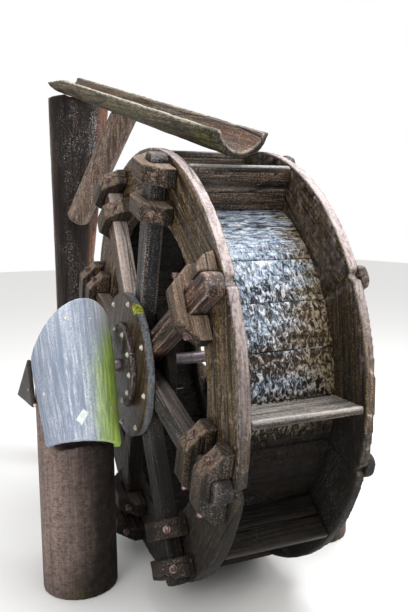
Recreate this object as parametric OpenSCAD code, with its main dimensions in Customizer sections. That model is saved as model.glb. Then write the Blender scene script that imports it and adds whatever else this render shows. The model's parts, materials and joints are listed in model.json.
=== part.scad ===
// Small overshot water wheel of timber with its two bearing posts, bearing covers,
// and the log launder on its own post and brace. Millimetres, +Z up.
// The wheel turns about the steel axle, which runs along X. The front, where the
// launder pours, is -Y. The near side of the wheel is -X.

/* [Wheel] */
// Outer radius of the wheel
wheel_r = 700; // [620:10:780]
// Width over the outer faces of the two rings
wheel_w = 396; // [360:4:460]
// Radial depth of the ring planks
ring_depth = 204; // [180:4:220]
// Thickness of the ring planks
ring_t = 32; // [24:1:40]
// Open joint between the ends of two ring planks
felloe_gap = 6; // [3:1:12]
// Size of the chips at the worn joints, across their corners
chip = 26; // [10:1:36]
// Gap between the wheel's lowest point and the ground
ground_gap = 20; // [15:5:60]

/* [Sole and buckets] */
// Depth of the buckets, from the sole to the wheel's rim
bucket_depth = 140; // [110:5:160]
// Thickness of the bucket boards
bucket_t = 24; // [18:1:32]
// Forward lean of the bucket boards in degrees
bucket_lean = 3; // [0:1:10]
// Seam between the two planks of a bucket
plank_seam = 2; // [0.5:0.5:4]
// Number of boards in the sole
sole_count = 26; // [20:1:32]
// Thickness of the sole boards
sole_t = 25; // [18:1:32]
// Seam between two sole boards
sole_seam = 2; // [1:0.5:5]

/* [Arms] */
// Width of an arm
arm_w = 70; // [56:2:78]
// Thickness of an arm on the near side
arm_t = 55; // [44:1:60]
// Thickness of an arm on the far side
far_arm_t = 32; // [28:1:60]
// Radius at which the arms start, under the hub disc
arm_start_r = 100; // [98:2:130]
// Chamfer on the two corners of an arm's outer end
arm_chamfer = 16; // [6:2:26]

/* [Saddle blocks] */
// Length of a saddle block, along the ring
saddle_l = 220; // [190:5:250]
// Height of a saddle block over its arm
saddle_over = 33; // [26:1:40]
// Radial width of a saddle block
saddle_w = 58; // [48:2:66]
// Chamfer on the ends of a saddle block
saddle_chamfer = 57; // [36:1:60]
// Length of the stub that is left of the broken saddle block
stub_l = 60; // [40:2:70]
// Distance from the rim to the middle of the outer saddle blocks
saddle_outer_in = 52; // [40:2:60]
// Distance from the rim to the middle of the inner saddle blocks
saddle_inner_in = 164; // [150:2:172]

/* [Hub] */
// Radius of the large hub disc
disc_r = 238; // [210:2:260]
// Thickness of the large hub disc
disc_t = 30; // [26:1:44]
// Radius of the small hub flange
flange_r = 140; // [110:5:170]
// Thickness of the small hub flange
flange_t = 18; // [12:1:22]
// Radius of the plate behind the arms
back_plate_r = 200; // [170:5:230]
// Thickness of the plate behind the arms
back_plate_t = 30; // [20:1:32]
// Radius of the axle
axle_r = 20; // [14:1:24]
// Length of the axle that stands out past a bearing block
axle_past = 8; // [4:1:20]

/* [Bearing posts] */
// Distance from the wheel's middle to the middle of a post
post_x = 452; // [448:1:520]
// Radius of a bearing post
post_r = 122; // [112:1:122]
// Width of the tongue on top of a post
tongue_w = 120; // [100:2:130]
// Depth of the tongue on top of a post
tongue_d = 130; // [110:2:132]
// Thickness of the bearing block along the axle
bearing_w = 96; // [70:2:100]
// Height of the bearing block below the axle's middle
bearing_h = 50; // [40:1:60]
// Radius of the bearing cap
cap_r = 48; // [38:1:50]

/* [Bearing covers] */
// Outer radius of the half-log cover at the axle's height and above
cover_r = 133; // [126:1:134]
// Outer radius of the cover at its foot
cover_foot_r = 115; // [108:1:126]
// Depth of the cover's log against its half width
cover_deep = 1.25; // [1:0.05:1.3]
// Offset of the cover from the post's middle towards the wheel
cover_aside = 6; // [0:1:8]
// Wall of the half-log cover
cover_t = 21; // [14:1:22]
// Lean of the cover from the vertical in degrees
cover_lean = 26; // [20:1:28]
// Length of the cover below the axle, along its own slope
cover_low = 260; // [230:2:280]
// Length of the cover's straight sides above the axle
cover_high = 42; // [40:2:60]
// Fall of the sawn foot from the cover's middle to its wheel side
cover_cut = 18; // [0:1:24]
// Height of the arch at the cover's top end
cover_arch = 138; // [110:2:180]
// Shift of the arch's crown towards the wheel
crown_shift = 20; // [0:2:46]
// Rise of the arch's foot on the wheel's side, and its fall on the other
cover_tilt = 14; // [0:1:40]
// Distance from the axle back to the plane of the cover's edges
cover_back = 26; // [22:1:34]
// Thickness of the side board of the cover
side_board_t = 16; // [12:1:24]
// Reach of the side board behind the axle
side_board_back = 355; // [300:5:380]
// Height of the side board's top corner above the axle
side_board_top = 36; // [20:2:60]
// Drop of the side board's front corner below the axle
side_board_drop = 106; // [90:2:130]
// Fall of the side board's lower edge to its back corner
side_board_fall = 46; // [0:2:60]

/* [Launder] */
// Outer radius of the launder log
launder_r = 95; // [86:1:104]
// Depth of the launder's rims below the middle of its log
rim_drop = 15; // [6:1:24]
// Wall of the launder log
launder_t = 25; // [16:1:30]
// Clearance between the launder and the wheel
launder_clear = 10; // [9:1:40]
// Slope of the launder in degrees
launder_slope = 16; // [12:1:18]
// Turn of the launder in plan in degrees
launder_yaw = 6; // [0:1:8]
// Length of the launder in front of its nearest point to the wheel
launder_front = 175; // [120:5:220]
// Length of the launder behind its nearest point to the wheel
launder_back = 1510; // [1440:5:1620]
// Length of the worn stretch of the near rim at the launder's back end
wear_l = 280; // [0:10:400]
// Slope of that worn stretch against the rim in degrees
wear_slope = 7; // [2:1:9]
// Sideways place of the launder at the axle
launder_x = -72; // [-84:2:-30]

/* [Launder post and brace] */
// Distance of the launder post behind the axle
tall_y = 1150; // [1080:10:1220]
// Radius of the launder post at the ground
tall_foot_r = 102; // [96:2:120]
// Radius of the launder post at its waist
tall_waist_r = 95; // [88:1:105]
// Radius of the launder post at its flared top
tall_top_r = 145; // [125:2:155]
// Sideways lean of the flared top, away from the near side
tall_top_shift = 48; // [0:2:60]
// Depth of the seat for the launder in the middle of the post's top
tall_seat = 10; // [4:1:20]
// Height of the launder post's waist above the ground
tall_waist_h = 1020; // [950:10:1080]
// Radius of the brace
strut_r = 54; // [44:1:60]
// Drop from the launder's underside straight down to the brace's foot
strut_drop = 535; // [460:5:620]
// Lean of the brace from the vertical in degrees
strut_lean = 49; // [46:1:52]
// Turn of the brace in plan in degrees
strut_yaw = 13; // [0:1:16]

/* [Hidden] */
$fn = 96;
arm_count = 8;
first_arm = 27;
first_seam = 25.5;
// The boards as they stand on the worn wheel, in degrees up from the front:
// hand-set and uneven, with the board near 30 degrees lost.
bucket_angles = [122, 90, 63, -3.5, -41, -75, -108, -141, -174, -206];
shaft_clear = 0.05;
seat_gap = 0.3;
plank_foot = 0.7;
rim_margin = 2;
axle_notch_clear = 8;
over = 1;

ring_face = wheel_w / 2;
ring_inside = ring_face - ring_t;
ring_inner_r = wheel_r - ring_depth;
sole_r = wheel_r - bucket_depth;
plank_h = (bucket_depth - plank_foot - plank_seam - rim_margin) / 2;
axle_h = wheel_r + ground_gap;
axle_end = post_x + bearing_w / 2 + axle_past;
tongue_top = -bearing_h;
tall_x = launder_x - tall_y * tan(launder_yaw);
launder_mid = wheel_r + launder_clear + launder_r;
launder_inner_r = launder_r - launder_t;
back_swell = norm([sin(launder_slope) * cos(launder_yaw), sin(launder_yaw)]);
launder_end_y = (launder_back * cos(launder_slope) - launder_mid * sin(launder_slope))
    * cos(launder_yaw) + launder_x * sin(launder_yaw) + launder_r * back_swell;
back_reach = max(launder_end_y, tall_y + tall_top_r);
axle_y = (wheel_r - back_reach) / 2;
tall_top_z = tall_y * tan(launder_slope)
    + (wheel_r + launder_clear) / cos(launder_slope) - tall_seat;
strut_foot_y = tall_y - tall_waist_r - strut_r / 2;
strut_foot_z = strut_foot_y * tan(launder_slope)
    + (wheel_r + launder_clear) / cos(launder_slope) - strut_drop;
strut_l = strut_drop / (cos(strut_lean) + tan(launder_slope) * sin(strut_lean) * cos(strut_yaw))
    + launder_r * 0.7;

// Everything is drawn about the axle's middle and then set at its height.
module at_axle() {
    translate([0, axle_y, axle_h]) children();
}

// Pieces of one side are drawn on the far side, +X, and mirrored for the near side.
module near_side() {
    at_axle() mirror([1, 0, 0]) children();
}

module far_side() {
    at_axle() children();
}

// A piece drawn at the front of the wheel, radius along -Y, turned up by an angle.
module up_from_front(angle) {
    rotate([-angle, 0, 0]) children();
}

module at_each_arm(from = 0, to = arm_count - 1) {
    for (i = [from : to])
        up_from_front(first_arm + i * 360 / arm_count) children();
}

module along_axle(r, x0, x1) {
    translate([x0, 0, 0]) rotate([0, 90, 0]) cylinder(r = r, h = x1 - x0);
}

// Ring of planks sawn to the curve, open at the joints and chipped at two of them.
module felloe_ring() {
    difference() {
        along_axle(wheel_r, ring_inside, ring_face);
        along_axle(ring_inner_r, ring_inside - over, ring_face + over);
        at_each_arm()
            translate([ring_inside - over, -wheel_r - over, -felloe_gap / 2])
                cube([ring_t + 2 * over, ring_depth + 2 * over, felloe_gap]);
        for (angle = [first_arm, first_arm - 360 / arm_count])
            up_from_front(angle)
                translate([ring_face - ring_t / 2, -wheel_r, 0]) rotate([45, 0, 0])
                    cube([ring_t + 2 * over, chip, chip], center = true);
    }
}

module near_felloes() {
    color("#6b5a3c") near_side() felloe_ring();
}

module far_felloes() {
    color("#5d5138") far_side() felloe_ring();
}

// Drum of narrow boards between the rings, under the buckets.
module sole_boards() {
    color("#4a4a46") at_axle() difference() {
        along_axle(sole_r, -ring_inside, ring_inside);
        along_axle(sole_r - sole_t, -ring_inside - over, ring_inside + over);
        for (i = [0 : sole_count - 1])
            up_from_front(first_seam + i * 360 / sole_count)
                translate([-ring_inside - over, -sole_r - over, -sole_seam / 2])
                    cube([wheel_w, sole_t + 2 * over, sole_seam]);
    }
}

// One row of bucket planks, from a radius outwards.
module bucket_planks(start) {
    at_axle() for (angle = bucket_angles)
        up_from_front(angle)
            translate([0, -sole_r, 0]) rotate([-bucket_lean, 0, 0])
                translate([-ring_inside, -start - plank_h, -bucket_t / 2])
                    cube([2 * ring_inside, plank_h, bucket_t]);
}

module bucket_inner_planks() {
    color("#6a5136") bucket_planks(plank_foot);
}

module bucket_outer_planks() {
    color("#7a5c3c") bucket_planks(plank_foot + plank_h + plank_seam);
}

// Arm on the ring's outer face, its outer end chamfered on both corners.
module arm(thick) {
    half = arm_w / 2;
    translate([ring_face, 0, 0]) rotate([90, 0, 90]) linear_extrude(thick)
        polygon([[-arm_start_r, -half], [-arm_start_r, half],
            [arm_chamfer - wheel_r, half], [-wheel_r, half - arm_chamfer],
            [-wheel_r, arm_chamfer - half], [arm_chamfer - wheel_r, -half]]);
}

module near_arms() {
    color("#746a5c") near_side() at_each_arm() arm(arm_t);
}

module far_arms() {
    color("#6d6457") far_side() at_each_arm() arm(far_arm_t);
}

// Outline on the ring's face drawn as [height, length] and given its radial width.
module on_ring_face(inset) {
    translate([ring_face, -wheel_r + inset + saddle_w / 2, 0]) rotate([90, 0, 0])
        linear_extrude(saddle_w) children();
}

// Block that bridges an arm and holds it to the ring, long ends chamfered.
module saddle(inset, thick) {
    half_l = saddle_l / 2;
    half_arm = arm_w / 2;
    high = thick + saddle_over;
    low = high - saddle_chamfer;
    on_ring_face(inset)
        polygon([[0, half_arm], [0, half_l], [low, half_l], [high, half_l - saddle_chamfer],
            [high, saddle_chamfer - half_l], [low, -half_l], [0, -half_l], [0, -half_arm],
            [thick, -half_arm], [thick, half_arm]]);
}

// Rounded stub above the arm, all that is left of a broken block.
module saddle_stub(inset) {
    on_ring_face(inset) intersection() {
        translate([0, arm_w / 2]) square([stub_l, stub_l]);
        translate([0, arm_w / 2]) circle(r = stub_l);
    }
}

module near_outer_saddles() {
    color("#8a6c5a") near_side() {
        at_each_arm(from = 1) saddle(saddle_outer_in, arm_t);
        at_each_arm(to = 0) saddle_stub(saddle_outer_in);
    }
}

module near_inner_saddles() {
    color("#80624e") near_side() at_each_arm() saddle(saddle_inner_in, arm_t);
}

module far_inner_saddles() {
    color("#7a5d4a") far_side() at_each_arm() saddle(saddle_inner_in, far_arm_t);
}

// Round plate with the axle through its middle.
module hub_plate(r, x0, thick) {
    difference() {
        along_axle(r, x0, x0 + thick);
        along_axle(axle_r + shaft_clear, x0 - over, x0 + thick + over);
    }
}

module near_hub_disc() {
    color("#5b4a3c") near_side() hub_plate(disc_r, ring_face + arm_t, disc_t);
}

module far_hub_disc() {
    color("#554538") far_side() hub_plate(disc_r, ring_face + far_arm_t, disc_t);
}

module near_hub_flange() {
    color("#4b3a34") near_side() hub_plate(flange_r, ring_face + arm_t + disc_t, flange_t);
}

module far_hub_flange() {
    color("#463731") far_side() hub_plate(flange_r, ring_face + far_arm_t + disc_t, flange_t);
}

module near_back_plate() {
    color("#4f4336") near_side() hub_plate(back_plate_r, ring_face - back_plate_t, back_plate_t);
}

module far_back_plate() {
    color("#4a3f33") far_side() hub_plate(back_plate_r, ring_face - back_plate_t, back_plate_t);
}

module axle() {
    color("#6f6b68") at_axle() along_axle(axle_r, -axle_end, axle_end);
}

// Frame of the leaning cover: Z along its length, -Y out of its round back.
module on_cover() {
    translate([post_x - cover_aside, cover_back, 0]) rotate([-cover_lean, 0, 0]) children();
}

// Everything in front of the plane on which the cover's edges lie.
module front_of_cover_plane() {
    on_cover() translate([-2 * post_r, -4 * post_r, -cover_low])
        cube([4 * post_r, 4 * post_r, 3 * cover_low]);
}

// Log post, sawn to a slope for the cover and to a tongue under the bearing.
module bearing_post() {
    difference() {
        translate([post_x, 0, -axle_h]) cylinder(r = post_r, h = axle_h + tongue_top);
        front_of_cover_plane();
    }
    translate([post_x - tongue_w / 2, -tongue_d / 2, -cover_low])
        cube([tongue_w, tongue_d, cover_low + tongue_top]);
}

module near_post() {
    color("#7d6a58") near_side() bearing_post();
}

module far_post() {
    color("#776553") far_side() bearing_post();
}

module axle_bore() {
    along_axle(axle_r + shaft_clear, post_x - bearing_w, post_x + bearing_w);
}

// Lower half of the bearing, on the post's tongue.
module bearing_block() {
    difference() {
        translate([post_x - bearing_w / 2, -tongue_d / 2, tongue_top])
            cube([bearing_w, tongue_d, bearing_h]);
        axle_bore();
    }
}

module near_bearing() {
    color("#55483b") near_side() bearing_block();
}

module far_bearing() {
    color("#504438") far_side() bearing_block();
}

// Upper half of the bearing, rounded over the axle.
module bearing_cap() {
    difference() {
        along_axle(cap_r, post_x - bearing_w / 2, post_x + bearing_w / 2);
        translate([post_x - bearing_w, -cap_r - over, -cap_r - over])
            cube([2 * bearing_w, 2 * cap_r + 2 * over, cap_r + over]);
        axle_bore();
    }
}

module near_bearing_cap() {
    color("#5e5042") near_side() bearing_cap();
}

module far_bearing_cap() {
    color("#584b3e") far_side() bearing_cap();
}

// Outline of the cover seen from its round back, with its arch over to one side.
module cover_outline() {
    polygon(concat([[-cover_r - over, -cover_low - cover_cut],
        [cover_r + over, -cover_low + cover_cut]],
        [for (a = [0 : 9 : 180]) [
            (cover_r + over) * cos(a) - crown_shift * sin(a),
            cover_high + cover_arch * sin(a) - cover_tilt * cos(a)]]));
}

// Log that narrows below the axle.
module cover_log(r, foot_r) {
    spare = cover_cut + over;
    wane = (r - foot_r) * spare / cover_low;
    scale([1, cover_deep, 1]) {
        translate([0, 0, -cover_low - spare])
            cylinder(r1 = foot_r - wane, r2 = r, h = cover_low + spare);
        cylinder(r = r, h = cover_high + cover_arch + over);
    }
}

// Half-log shell that leans over the bearing, notched for the axle.
module half_log_cover() {
    difference() {
        on_cover() intersection() {
            difference() {
                cover_log(cover_r, cover_foot_r);
                cover_log(cover_r - cover_t, cover_foot_r - cover_t);
                translate([-2 * cover_r, 0, -2 * cover_low])
                    cube([4 * cover_r, 2 * cover_r, 6 * cover_low]);
            }
            rotate([90, 0, 0]) linear_extrude(2 * cover_r) cover_outline();
        }
        along_axle(axle_r + axle_notch_clear, ring_face, post_x);
        translate([ring_face, 0, -axle_r - axle_notch_clear])
            cube([post_x - ring_face, post_r, 2 * (axle_r + axle_notch_clear)]);
    }
}

module near_cover() {
    color("#9aa0a3") near_side() half_log_cover();
}

module far_cover() {
    color("#93999c") far_side() half_log_cover();
}

// Three-cornered board on the post, its front edge against the edge of the cover.
module side_board() {
    edge = tan(cover_lean);
    translate([post_x + post_r + seat_gap, 0, 0]) rotate([90, 0, 90])
        linear_extrude(side_board_t)
            polygon([[cover_back + seat_gap + side_board_top * edge, side_board_top],
                [side_board_back, -side_board_drop - side_board_fall],
                [cover_back + seat_gap - side_board_drop * edge, -side_board_drop]]);
}

module near_side_board() {
    color("#4d3a2c") near_side() side_board();
}

module far_side_board() {
    color("#483629") far_side() side_board();
}

// Frame of the sloping launder: Y along it to the back, Z square to its slope.
module on_launder() {
    at_axle() rotate([0, 0, launder_yaw]) rotate([launder_slope, 0, 0])
        translate([launder_x, 0, launder_mid]) children();
}

module launder_log(r, spare) {
    translate([0, -launder_front - spare, 0]) rotate([-90, 0, 0])
        cylinder(r = r, h = launder_front + launder_back + 2 * spare);
}

// Hollowed half log that carries the water over the wheel.
module launder() {
    color("#7c7458") on_launder() difference() {
        launder_log(launder_r, 0);
        launder_log(launder_inner_r, over);
        translate([-2 * launder_r, -launder_front - over, -rim_drop])
            cube([4 * launder_r, launder_front + launder_back + 2 * over, 2 * launder_r]);
        translate([-2 * launder_r, launder_back - wear_l, -rim_drop]) rotate([-wear_slope, 0, 0])
            cube([2 * launder_r, 2 * wear_l + over, 2 * launder_r]);
    }
}

// Log that narrows to its waist and flares to one side at its top.
module tall_log(grow) {
    at_axle() translate([tall_x, tall_y, -axle_h]) {
        cylinder(r1 = tall_foot_r + grow, r2 = tall_waist_r + grow, h = tall_waist_h);
        hull() {
            translate([0, 0, tall_waist_h - over])
                cylinder(r = tall_waist_r + grow, h = over, $fn = 40);
            translate([tall_top_shift, 0, axle_h + tall_top_z - over])
                cylinder(r = tall_top_r + grow, h = over, $fn = 40);
        }
    }
}

// Launder post, hollowed at its top to seat the launder.
module tall_post() {
    color("#3f342b") difference() {
        tall_log(0);
        on_launder() launder_log(launder_r + seat_gap, launder_back);
    }
}

// Round brace from the post's front up to the launder's underside.
module strut() {
    color("#a08a70") difference() {
        at_axle() translate([tall_x, strut_foot_y, strut_foot_z])
            rotate([strut_lean, 0, strut_yaw]) cylinder(r = strut_r, h = strut_l);
        tall_log(seat_gap);
        on_launder() launder_log(launder_r + seat_gap, launder_back);
    }
}

near_felloes();
far_felloes();
sole_boards();
bucket_inner_planks();
bucket_outer_planks();
near_arms();
far_arms();
near_outer_saddles();
near_inner_saddles();
far_inner_saddles();
near_hub_disc();
far_hub_disc();
near_hub_flange();
far_hub_flange();
near_back_plate();
far_back_plate();
axle();
near_post();
far_post();
near_bearing();
far_bearing();
near_bearing_cap();
far_bearing_cap();
near_cover();
far_cover();
near_side_board();
far_side_board();
tall_post();
launder();
strut();
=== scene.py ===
# %% [markdown]
# A small overshot water wheel of old timber. The solids from the CAD frame are already in
# place; here each of them gets the worn, wet and mossy surface that it has after years
# outdoors, and then the bolts, nails and small marks that the solids leave out. Lengths are
# in metres. X runs along the axle, with the near side at minus, and the wheel's front is at
# minus Y.

import json
import math
import random
from types import SimpleNamespace

import bpy
import numpy as np
from mathutils import Matrix, Vector, noise


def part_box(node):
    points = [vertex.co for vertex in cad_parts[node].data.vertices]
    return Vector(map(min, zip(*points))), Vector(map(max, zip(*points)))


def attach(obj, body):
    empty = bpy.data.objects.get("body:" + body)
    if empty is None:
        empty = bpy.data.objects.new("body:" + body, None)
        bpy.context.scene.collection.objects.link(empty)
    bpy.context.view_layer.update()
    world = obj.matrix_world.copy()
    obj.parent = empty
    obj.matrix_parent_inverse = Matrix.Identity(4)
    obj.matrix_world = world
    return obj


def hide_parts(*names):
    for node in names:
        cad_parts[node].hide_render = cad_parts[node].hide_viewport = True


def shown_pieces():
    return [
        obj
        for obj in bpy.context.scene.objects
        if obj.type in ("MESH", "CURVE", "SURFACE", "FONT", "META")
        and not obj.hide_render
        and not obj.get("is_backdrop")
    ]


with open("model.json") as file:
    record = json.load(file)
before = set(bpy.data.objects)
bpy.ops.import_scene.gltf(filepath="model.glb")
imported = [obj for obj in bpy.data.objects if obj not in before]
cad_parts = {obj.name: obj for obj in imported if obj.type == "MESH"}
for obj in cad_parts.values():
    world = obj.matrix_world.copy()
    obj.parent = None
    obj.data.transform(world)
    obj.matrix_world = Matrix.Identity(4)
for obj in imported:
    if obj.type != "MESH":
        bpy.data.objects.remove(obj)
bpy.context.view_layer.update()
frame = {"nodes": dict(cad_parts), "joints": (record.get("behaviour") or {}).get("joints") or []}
cad = frame["nodes"]
axle = Vector(frame["joints"][0]["pos_m"])
random.seed(7)
print("solids", len(cad), "axle at", tuple(round(x, 4) for x in axle))

# %% [markdown]
# The camera stands where the picture was taken: to the near side of the wheel's front, a
# little above the axle. It could be aimed by eye, but its three directions were found by
# matching known points of the wheel, such as the rim, the axle and the posts, with their
# places in the picture, so that the two can be laid side by side.

# %% Camera at the photo's angle
PHOTO_WIDTH, PHOTO_HEIGHT = 408, 612  # pixels
LENS = 39.17  # millimetres
CAMERA_FROM_AXLE = Vector((-0.87334, -2.09603, 0.45242))
right = Vector((0.92139, -0.38840, -0.01386))
up = Vector((0.05957, 0.10589, 0.99259))
back = Vector((-0.38406, -0.91539, 0.12070))


def add_object(name, data):
    made = bpy.data.objects.new(name, data)
    bpy.context.scene.collection.objects.link(made)
    return made


camera_data = bpy.data.cameras.new("photo_camera")
camera_data.lens = LENS
camera_data.clip_start = 0.05
camera_data.clip_end = 80.0
camera = add_object("photo_camera", camera_data)
turn = Matrix((right, up, back)).transposed().to_4x4()
camera.matrix_world = Matrix.Translation(axle + CAMERA_FROM_AXLE) @ turn
bpy.context.scene.camera = camera
bpy.context.scene.view_settings.view_transform = "Standard"
print("camera at", tuple(round(x, 3) for x in camera.location))

# %% [markdown]
# Materials, and the light of the room, are sums written with sockets. This small class lets
# them be written as plain arithmetic: a socket plus a number makes a Math node, and `node`
# makes any other kind. Colours are written as on a screen, such as 6b5a3c, and `colour`
# turns them into the linear numbers that a shader takes.


# %% Sockets that can be added and multiplied
def colour(text):
    levels = [int(text[i:i + 2], 16) / 255 for i in (0, 2, 4)]
    return tuple(c / 12.92 if c <= 0.04045 else ((c + 0.055) / 1.055) ** 2.4 for c in levels) + (1,)


class Socket:
    def __init__(self, tree, out=None):
        self.tree, self.out = tree, out

    def node(self, kind, settings=(), pick=0, **inputs):
        """A new node's output. Inputs are given by name, or by place as i0, i1 and so on."""
        made = self.tree.nodes.new("ShaderNode" + kind)
        for key, value in dict(settings).items():
            setattr(made, key, value)
        for key, value in inputs.items():
            target = made.inputs[int(key[1:]) if key[1:].isdigit() else key.replace("_", " ")]
            if isinstance(value, Socket):
                self.tree.links.new(value.out, target)
            else:
                target.default_value = value
        return Socket(self.tree, made.outputs[pick])

    def math(self, operation, first, second=0.0):
        return self.node("Math", {"operation": operation}, i0=first, i1=second)

    def __add__(self, other):
        return self.math("ADD", self, other)

    def __sub__(self, other):
        return self.math("SUBTRACT", self, other)

    def __rsub__(self, other):
        return self.math("SUBTRACT", other, self)

    def __mul__(self, other):
        return self.math("MULTIPLY", self, other)

    __radd__, __rmul__ = __add__, __mul__

    def stretch(self, x, y, z):
        return self.node("VectorMath", {"operation": "MULTIPLY"}, i0=self, i1=(x, y, z))

    def step(self, low, high, to_low=0.0, to_high=1.0):
        """A smooth step from one level to another while this value goes from low to high."""
        return self.node("MapRange", {"interpolation_type": "SMOOTHSTEP"}, i0=self,
                         i1=low, i2=high, i3=to_low, i4=to_high)

    def noise(self, scale, detail=3.0, rough=0.5, distort=0.0):
        return self.node("TexNoise", Vector=self, Scale=scale, Detail=detail,
                         Roughness=rough, Distortion=distort)

    def blend(self, first, second):
        """Two colours mixed, with this value as the share of the second one."""
        first, second = (colour(c) if isinstance(c, str) else c for c in (first, second))
        return self.node("Mix", {"data_type": "RGBA"}, pick=2, i0=self, i6=first, i7=second)


print("6b5a3c is", [round(c, 3) for c in colour("6b5a3c")])

# %% [markdown]
# The studio is plain. A wide pale floor lies under the posts, and three soft boxes give the
# light: a large one overhead, which is what the wet boards mirror, one from the front on the
# near side, and one opposite. Soft boxes are chosen over a sun, because their edges make
# broad, quiet highlights on the wet timber.


# %% Floor and lights
def new_material(name):
    made = bpy.data.materials.new(name)
    made.use_nodes = True
    return made, made.node_tree.nodes["Principled BSDF"]


def soft_box(name, place, target, size, power, tint):
    data = bpy.data.lights.new(name, "AREA")
    data.size = size
    data.energy = power
    data.color = tint
    lamp = add_object(name, data)
    lamp.location = place
    aim = Vector(target) - Vector(place)
    lamp.rotation_euler = aim.to_track_quat("-Z", "Y").to_euler()
    lamp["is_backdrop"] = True


bpy.ops.mesh.primitive_plane_add(size=24.0, location=(0.0, 4.0, 0.0))
floor = bpy.context.object
floor.name = "floor"
floor_paint, floor_shader = new_material("floor_paint")
floor_shader.inputs["Base Color"].default_value = (0.90, 0.895, 0.88, 1.0)
floor_shader.inputs["Roughness"].default_value = 0.85
floor.data.materials.append(floor_paint)
floor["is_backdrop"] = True

soft_box("top_light", (0.9, -0.9, 4.2), (0.0, -0.3, 0.8), 2.8, 150.0, (0.97, 0.98, 1.0))
soft_box("near_light", (-3.6, -3.4, 2.6), (-0.2, -0.3, 0.7), 2.0, 70.0, (1.0, 0.98, 0.95))
soft_box("far_light", (3.4, -2.4, 2.2), (0.0, -0.3, 0.8), 1.8, 76.0, (1.0, 0.99, 0.97))

# %% [markdown]
# The room is white to the camera. The light it sends to the wheel is weaker and comes mostly
# from above, from `DARK_BELOW` under the horizon to `LIGHT_ABOVE` near the top, so that the
# undersides stay dark, as they do in a shady place. Light Path tells the two apart.

# %% The room around
DARK_BELOW, LIGHT_ABOVE = 0.24, 1.05

world = bpy.data.worlds.new("room")
world.use_nodes = True
bpy.context.scene.world = world
room = Socket(world.node_tree)
height = room.node("SeparateXYZ", pick=2, Vector=room.node("TexCoord"))
sky = room.node("MapRange", i0=height, i1=-0.1, i2=0.9, i3=DARK_BELOW, i4=LIGHT_ABOVE)
seen_by_camera = room.node("LightPath")
strength = room.node("Mix", i0=seen_by_camera, i2=sky, i3=1.0)
around = world.node_tree.nodes["Background"]
around.inputs["Color"].default_value = (1.0, 1.0, 1.0, 1.0)
world.node_tree.links.new(strength.out, around.inputs["Strength"])
print("room light from", DARK_BELOW, "to", LIGHT_ABOVE)

# %% [markdown]
# All the timber shares one material recipe, in a few steps. Every piece carries its own
# grain coordinates in metres, measured from the heart of the tree it was cut from: along the
# grain first, then across. Year rings are circles about that heart, fibres are noise drawn
# out along the grain, and checks are thin cracks that follow it. The piece also says how
# worn each edge is and where light is painted, where it is green, where it is dirty and
# where shade is painted, and how dark each board is. A picture of wood could be wrapped on
# instead, but it would not run round the end of a log.


# %% Patterns that follow the grain
def patterns(tree, look):
    start = Socket(tree)
    piece = SimpleNamespace()
    piece.grain = grain = start.node("Attribute", {"attribute_name": "grain"}, pick=1)
    piece.board = start.node("Attribute", {"attribute_name": "board"}, pick=2)
    marks = start.node("Attribute", {"attribute_name": "marks"}, pick=1)
    piece.worn, piece.green, piece.dirty = (
        start.node("SeparateXYZ", pick=i, Vector=marks) for i in range(3))

    piece.fibres = grain.stretch(5.0, 125.0, 125.0).noise(1.0, 5.0, 0.68)
    piece.strands = grain.stretch(2.4, 36.0, 36.0).noise(1.0, 4.0, 0.62)
    piece.patches = grain.stretch(3.0, 11.0, 11.0).noise(1.0, 5.0, 0.62)
    if look.bark:
        piece.wrinkles = grain.stretch(105.0, 62.0, 62.0).noise(1.0, 4.0, 0.7, 0.6)

    sway = grain.stretch(1.4, 7.0, 7.0).noise(1.0, 3.0, 0.5)
    across = grain.stretch(0.0, 1.0, 1.0)
    from_heart = start.node("VectorMath", {"operation": "LENGTH"}, pick=1, i0=across)
    turns = (from_heart + sway * 0.03) * (2 * math.pi / look.ring)
    piece.rings = start.math("SINE", turns) * 0.5 + 0.5

    lines = grain.stretch(1.3, 19.0, 19.0)
    gap = start.node("TexVoronoi", {"feature": "DISTANCE_TO_EDGE"}, Vector=lines, Scale=1.0)
    split_here = grain.stretch(1.9, 11.0, 11.0).noise(1.0, 2.0, 0.5)
    split_here = split_here.step(0.64 - 0.22 * look.cracks, 0.70)
    piece.crack = gap.step(0.0, 0.045, 1.0, 0.0) * split_here * min(1.0, look.cracks * 1.5)

    piece.place = start.node("TexCoord", pick=3)
    piece.fleck = piece.place.noise(34.0, 4.0, 0.65)
    piece.speck = piece.place.noise(120.0, 3.0, 0.7)
    piece.grit = piece.place.noise(260.0, 2.0, 0.6)
    wet = piece.patches * 0.45 + piece.fleck * 0.55
    piece.wet = wet.step(0.54 - 0.12 * look.blotch, 0.62)
    return piece


# %% [markdown]
# Bare wood comes first: fibres between a dark and a pale colour, year rings over them, and
# some boards darker than others. A barked log gets short wrinkles across the grain, and a
# second colour can tone single boards. All of it is noise on the grain coordinates, and as
# those lie elsewhere for each board, no two boards look alike.


# %% Bare wood
def bare_wood(piece, look):
    spread = 0.115 / look.contrast
    wood = (piece.fibres * 0.5 + piece.strands * 0.5).step(0.5 - spread, 0.5 + spread)
    wood = wood.blend(look.dark, look.pale)
    wood = (piece.rings * look.years).blend(wood, look.dark)
    wood = (piece.board * 0.3).blend(wood, look.dark)
    if look.bark:
        wood = (piece.wrinkles.step(0.38, 0.54, 1.0, 0.0) * look.bark).blend(wood, look.stain)
        wood = (piece.wrinkles.step(0.56, 0.68) * look.bark * 0.5).blend(wood, look.edge)
    if look.cool:
        toned = piece.strands.step(0.3, 0.7).blend(look.dark, look.cool)
        wood = (piece.board.step(0.35, 0.75) * 0.7).blend(wood, toned)
    return wood
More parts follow.
